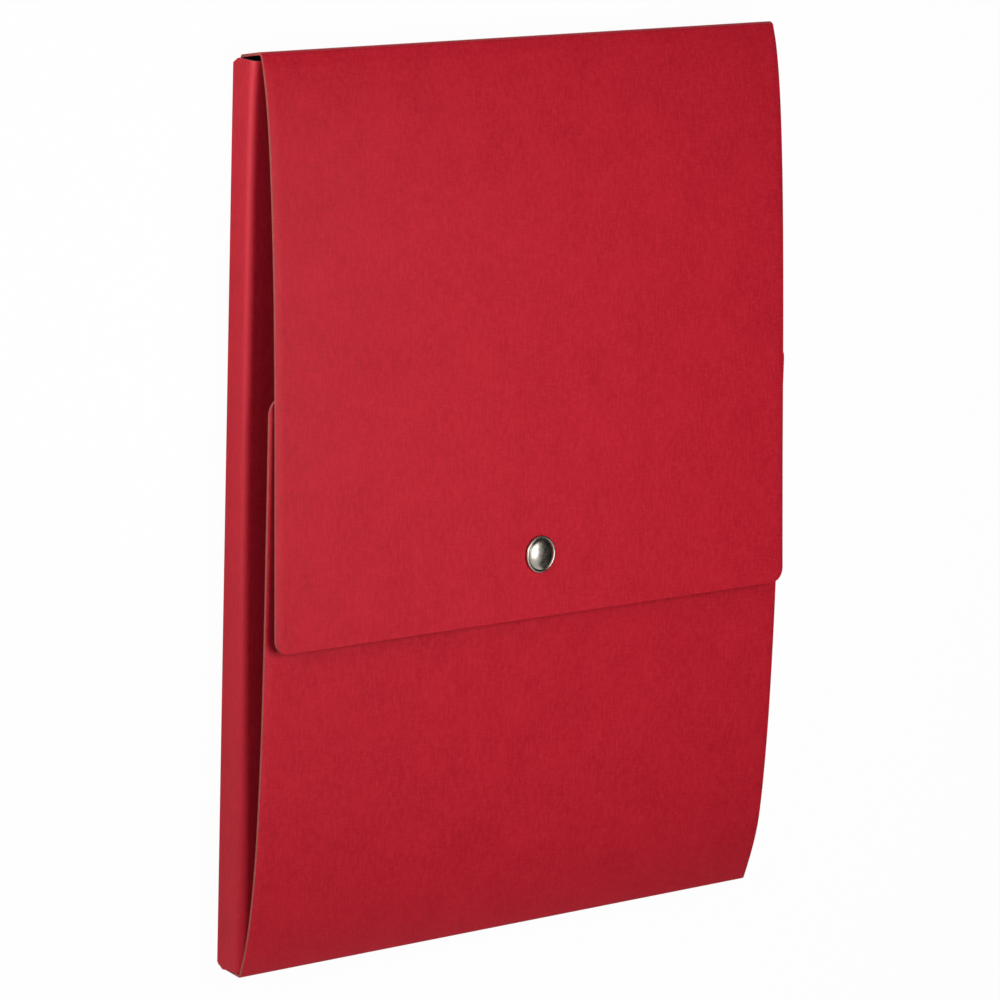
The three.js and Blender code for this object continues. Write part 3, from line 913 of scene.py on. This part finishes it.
cap_height, cap_lean = on_bow(flap_bow, snap_y)
stud_height, stud_lean = on_bow(front_bow, snap_y)
board_gap = cap_height - stud_height - board / math.cos(cap_lean)
print("gap between the boards at the stud", round(board_gap / MM, 2), "mm")

# %% Turn a profile
turn_steps = 96


def softened(profile, radius, steps=4):
    """A closed profile with its corners rounded, where the legs leave room."""
    points = [np.array(corner, float) for corner in profile]
    result = []
    for index, corner in enumerate(points):
        before, after = points[index - 1], points[(index + 1) % len(points)]
        legs = before - corner, after - corner
        cosine = unit(legs[0]) @ unit(legs[1])
        if cosine < -0.9:
            result.append(corner)
            continue
        cut = min(radius, 0.45 * min(np.linalg.norm(legs[0]), np.linalg.norm(legs[1])))
        start, end = corner + unit(legs[0]) * cut, corner + unit(legs[1]) * cut
        for share in np.linspace(0, 1, steps + 1):
            result.append((1 - share) ** 2 * start + 2 * share * (1 - share) * corner + share ** 2 * end)
    return result


def turned(name, profile, height, lean, material):
    """A ring or a domed piece: a closed profile of (radius, height) turned about the stud's axis."""
    work = bmesh.new()
    uv_layer = work.loops.layers.uv.new("turned")
    rings = []
    for radius, rise in profile:
        angles = np.linspace(0, 2 * math.pi, turn_steps, endpoint=False)
        spots = [(radius * math.cos(angle), radius * math.sin(angle), rise) for angle in angles]
        if radius == 0:
            rings.append([work.verts.new(spots[0])] * turn_steps)
        else:
            rings.append([work.verts.new(spot) for spot in spots])
    lengths = np.concatenate([[0], np.cumsum([math.dist(a, b) for a, b in zip(profile, profile[1:])])])
    for index in range(len(profile)):
        following = (index + 1) % len(profile)
        if profile[index][0] == 0 and profile[following][0] == 0:
            continue
        for step in range(turn_steps):
            ahead = (step + 1) % turn_steps
            near, far = rings[index], rings[following]
            corners = [near[step], near[ahead], far[ahead], far[step]]
            marks = [(step, index), (step + 1, index), (step + 1, index + 1), (step, index + 1)]
            used = {}
            for corner, (turn, ring) in zip(corners, marks):
                used.setdefault(corner, (turn / turn_steps, lengths[min(ring, len(profile) - 1)]))
            face = work.faces.new(list(used))
            for loop in face.loops:
                loop[uv_layer].uv = used[loop.vert]
    bmesh.ops.recalc_face_normals(work, faces=work.faces)
    placed = Matrix.Translation((0, snap_y + bottom_y, height)) @ Matrix.Rotation(-lean, 4, "X")
    bmesh.ops.transform(work, matrix=placed, verts=work.verts)
    mesh = bpy.data.meshes.new(name)
    work.to_mesh(mesh)
    work.free()
    mesh.shade_smooth()
    mesh.set_sharp_from_angle(angle=math.radians(50))
    mesh.materials.append(material)
    piece = bpy.data.objects.new(name, mesh)
    bpy.context.scene.collection.objects.link(piece)
    print(name, "faces", len(mesh.polygons))
    return piece


# %% Profiles of the flap's half
def profile_arc(radius, height, across, up, start, stop, steps):
    angles = np.radians(np.linspace(start, stop, steps + 1))
    return [(radius + across * math.cos(angle), height + up * math.sin(angle)) for angle in angles]


dome_radius = cap_radius - cap_rim_width
dome_foot = seat_gap + cap_rim_height - cap_rim_width / 2
dome_rise = seat_gap + cap_dome_height - dome_foot
rim_middle = cap_radius - cap_rim_width / 2
shell_mouth = dome_radius - cap_rim_width
cap_profile = [
    (0, dome_foot - sheet_metal + dome_rise),
    *profile_arc(0, dome_foot - sheet_metal, dome_radius - sheet_metal / 2, dome_rise, 84, 12, 14),
    (dome_radius - sheet_metal / 2 - 0.1 * MM, seat_gap + sheet_metal),
    (shell_mouth, seat_gap + sheet_metal),
    (shell_mouth, seat_gap),
    (cap_radius - sheet_metal / 2, seat_gap),
    *profile_arc(rim_middle, dome_foot, cap_rim_width / 2, cap_rim_width / 2, -25, 172, 18),
    *profile_arc(0, dome_foot, dome_radius, dome_rise, 6, 87, 26),
    (0, dome_foot + dome_rise),
]
socket_top = -board - seat_gap
socket_bottom = -board - board_gap + seat_gap + stud_flange + running_gap
flare_top = socket_top - socket_wall - seat_gap
spring_radius = mouth_radius + wire_radius - seat_gap / 2
post_profile = softened([
    (post_radius - socket_wall, seat_gap + sheet_metal),
    (post_radius - socket_wall, flare_top - socket_wall),
    (spring_radius - wire_radius - seat_gap, flare_top - socket_wall),
    (spring_radius - wire_radius - seat_gap, flare_top),
    (post_radius, flare_top),
    (post_radius, seat_gap),
    (shell_mouth - seat_gap, seat_gap),
    (shell_mouth - seat_gap, seat_gap + sheet_metal),
], radius=0.12 * MM)
socket_profile = softened([
    (post_radius + seat_gap, socket_top),
    (post_radius + seat_gap, socket_top - socket_wall),
    (cavity_radius, socket_top - socket_wall),
    (cavity_radius, socket_bottom + socket_wall),
    (mouth_radius, socket_bottom + socket_wall),
    (mouth_radius, socket_bottom),
    (socket_radius - socket_base_inset, socket_bottom),
    (socket_radius, socket_top - socket_shoulder),
    (socket_radius, socket_top),
], radius=0.3 * MM)

# %% Profiles of the front panel's half
stud_top = board_gap - 3 * seat_gap - 2 * socket_wall - running_gap
stud_profile = softened([
    (eyelet_radius + seat_gap, seat_gap),
    (flange_radius, seat_gap),
    (flange_radius, seat_gap + stud_flange),
    (stud_neck_radius, seat_gap + stud_flange),
    (stud_neck_radius, (seat_gap + stud_flange + stud_top) / 2),
    (stud_head_radius, stud_top - socket_wall),
    (stud_head_radius - socket_wall / 2, stud_top),
    (eyelet_radius + seat_gap, stud_top),
], radius=0.15 * MM)
eyelet_profile = softened([
    (eyelet_radius - eyelet_wall, -board - seat_gap - eyelet_flange),
    (flange_radius, -board - seat_gap - eyelet_flange),
    (flange_radius, -board - seat_gap),
    (eyelet_radius, -board - seat_gap),
    (eyelet_radius, stud_top - seat_gap),
    (eyelet_radius - eyelet_wall, stud_top - seat_gap),
], radius=0.12 * MM)

# %% Turn the pieces and put them on their bodies
def set_stud_piece(name, profile, node_name, body):
    height, lean = (cap_height, cap_lean) if body == "flap" else (stud_height, stud_lean)
    piece = turned(name, profile, height, lean, nickel_plate)
    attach(piece, body)
    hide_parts(node_name)


set_stud_piece("stud_cap", cap_profile, "snap_cap", "flap")
set_stud_piece("stud_cap_rivet", post_profile, "snap_cap_post", "flap")
set_stud_piece("stud_socket", socket_profile, "snap_socket", "flap")
set_stud_piece("stud_head", stud_profile, "snap_stud", "root")
set_stud_piece("stud_eyelet", eyelet_profile, "snap_eyelet", "root")

# %% [markdown]
# The ring spring is a split ring of round wire in the socket's cavity. It stays as the frame has it,
# because at half a millimetre its twelve-sided section can't be told from a round one, and gets its own
# metal.

# %% The ring spring keeps its shape
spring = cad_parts["snap_socket_spring"]
spring.data.materials.clear()
spring.data.materials.append(spring_wire)

# %% [markdown]
# ## Studio
# The photograph has a white ground and soft shadows, so the floor is white and the world is pale. A soft
# light stands straight above the middle of the case's face. A second one stands low at the left, towards
# the top fold, and lights the side wall and the metal. The floor shows itself as white to the camera and
# keeps a soft shadow.

# %% Floor
floor_size = 40
floor_drop = 0.0002
floor_glow = 0.97


def studio_floor():
    bpy.ops.mesh.primitive_plane_add(size=floor_size, location=(0, 0, -floor_drop))
    floor = bpy.context.object
    floor.name = "studio_floor"
    material = bpy.data.materials.new("white_floor")
    material.use_nodes = True
    tree = material.node_tree
    tree.nodes.clear()
    output = tree.nodes.new("ShaderNodeOutputMaterial")
    plain = tree.nodes.new("ShaderNodeBsdfDiffuse")
    plain.inputs["Color"].default_value = (0.9, 0.9, 0.9, 1)
    glow = tree.nodes.new("ShaderNodeEmission")
    glow.inputs["Strength"].default_value = 1.0
    path = tree.nodes.new("ShaderNodeLightPath")
    seen = maths(tree, "MAXIMUM", path.outputs["Is Camera Ray"], path.outputs["Is Glossy Ray"])
    seen = maths(tree, "MAXIMUM", seen, path.outputs["Is Transmission Ray"])
    blend = tree.nodes.new("ShaderNodeMixShader")
    tree.links.new(maths(tree, "MULTIPLY", seen, floor_glow), blend.inputs["Fac"])
    tree.links.new(plain.outputs[0], blend.inputs[1])
    tree.links.new(glow.outputs[0], blend.inputs[2])
    tree.links.new(blend.outputs[0], output.inputs["Surface"])
    floor.data.materials.append(material)


studio_floor()


# %% World
def pale_world(level):
    world = bpy.data.worlds.new("pale_studio")
    bpy.context.scene.world = world
    world.use_nodes = True
    tree = world.node_tree
    background = tree.nodes["Background"]
    path = tree.nodes.new("ShaderNodeLightPath")
    seen = maths(tree, "MAXIMUM", path.outputs["Is Camera Ray"], path.outputs["Is Glossy Ray"])
    seen = maths(tree, "MAXIMUM", seen, path.outputs["Is Transmission Ray"])
    tree.links.new(spread(tree, seen, 0, 1, level, 1.0), background.inputs["Strength"])
    background.inputs["Color"].default_value = (1, 1, 1, 1)


pale_world(level=0.25)


# %% Soft lights
def soft_light(name, place, aim, size, power):
    lamp = bpy.data.lights.new(name, "AREA")
    lamp.shape = "RECTANGLE"
    lamp.size, lamp.size_y = size
    lamp.energy = power
    light = bpy.data.objects.new(name, lamp)
    bpy.context.scene.collection.objects.link(light)
    way = Vector(aim) - Vector(place)
    light.matrix_world = Matrix.Translation(place) @ way.to_track_quat("-Z", "Y").to_matrix().to_4x4()


soft_light("key_light", place=(0.0, 0.04, 0.45), aim=(0, 0.02, 0), size=(0.30, 0.30), power=1.47)
soft_light("side_light", place=(-0.65, 0.30, 0.19), aim=(0, 0.06, 0.01), size=(0.3, 0.4), power=2.15)


# %% [markdown]
# Two black flags stand out of the camera's sight, at the right and past the top. A photographer sets such
# flags so that metal and satin paper have something dark to mirror, which gives the dome its contrast.

# %% Black flags
def black_flag(name, corners):
    mesh = bpy.data.meshes.new(name)
    mesh.from_pydata(corners, [], [(0, 1, 2, 3)])
    flag = bpy.data.objects.new(name, mesh)
    bpy.context.scene.collection.objects.link(flag)
    material, tree, shader, _ = new_material(name)
    shader.inputs["Base Color"].default_value = (0.02, 0.02, 0.02, 1)
    shader.inputs["Roughness"].default_value = 0.9
    mesh.materials.append(material)
    flag.visible_camera = False


black_flag("flag_right", [(0.9, -1.0, 0.02), (0.9, 1.1, 0.02), (0.75, 1.1, 1.5), (0.75, -1.0, 1.5)])
black_flag("flag_top", [(-0.5, 1.1, 0.02), (0.9, 1.1, 0.02), (0.9, 0.95, 1.2), (-0.5, 0.95, 1.2)])

# %% [markdown]
# ## Camera
# The camera stands where the photograph's perspective says: to the left of the case's front, a little
# above its middle, and far off, so a long lens fills the frame. It looks along the line back to the case,
# turned by small aim angles, and rolled a little.

# %% Camera
camera_azimuth = 41.151
camera_elevation = 10.438
camera_distance = 1.8788
camera_aim = (0.12e-3, -2.231e-3)
camera_roll = 1.559
camera_centre = Vector((0, -0.99 * MM, 6 * MM))
pixels_per_unit_slope = 5527.1
frame_pixels = 1000
sensor_width = 36.0

azimuth, elevation, roll = (math.radians(a) for a in (camera_azimuth, camera_elevation, camera_roll))
back = Vector((-math.sin(azimuth) * math.cos(elevation), math.sin(elevation),
               math.cos(azimuth) * math.cos(elevation)))
right = Vector((math.cos(azimuth), 0, math.sin(azimuth)))
up = back.cross(right)
behind = (back - right * camera_aim[0] - up * camera_aim[1]).normalized()
level_right = Vector((0, 1, 0)).cross(behind).normalized()
level_up = behind.cross(level_right)
camera_right = math.cos(roll) * level_right + math.sin(roll) * level_up
camera_up = -math.sin(roll) * level_right + math.cos(roll) * level_up

lens = bpy.data.cameras.new("camera")
lens.sensor_width = sensor_width
lens.lens = pixels_per_unit_slope / frame_pixels * sensor_width
camera = bpy.data.objects.new("camera", lens)
bpy.context.scene.collection.objects.link(camera)
axes = Matrix((camera_right, camera_up, behind)).transposed().to_4x4()
camera.matrix_world = Matrix.Translation(camera_centre + back * camera_distance) @ axes
bpy.context.scene.camera = camera
bpy.context.scene.view_settings.view_transform = "Standard"
print("lens", round(lens.lens, 2), "mm")
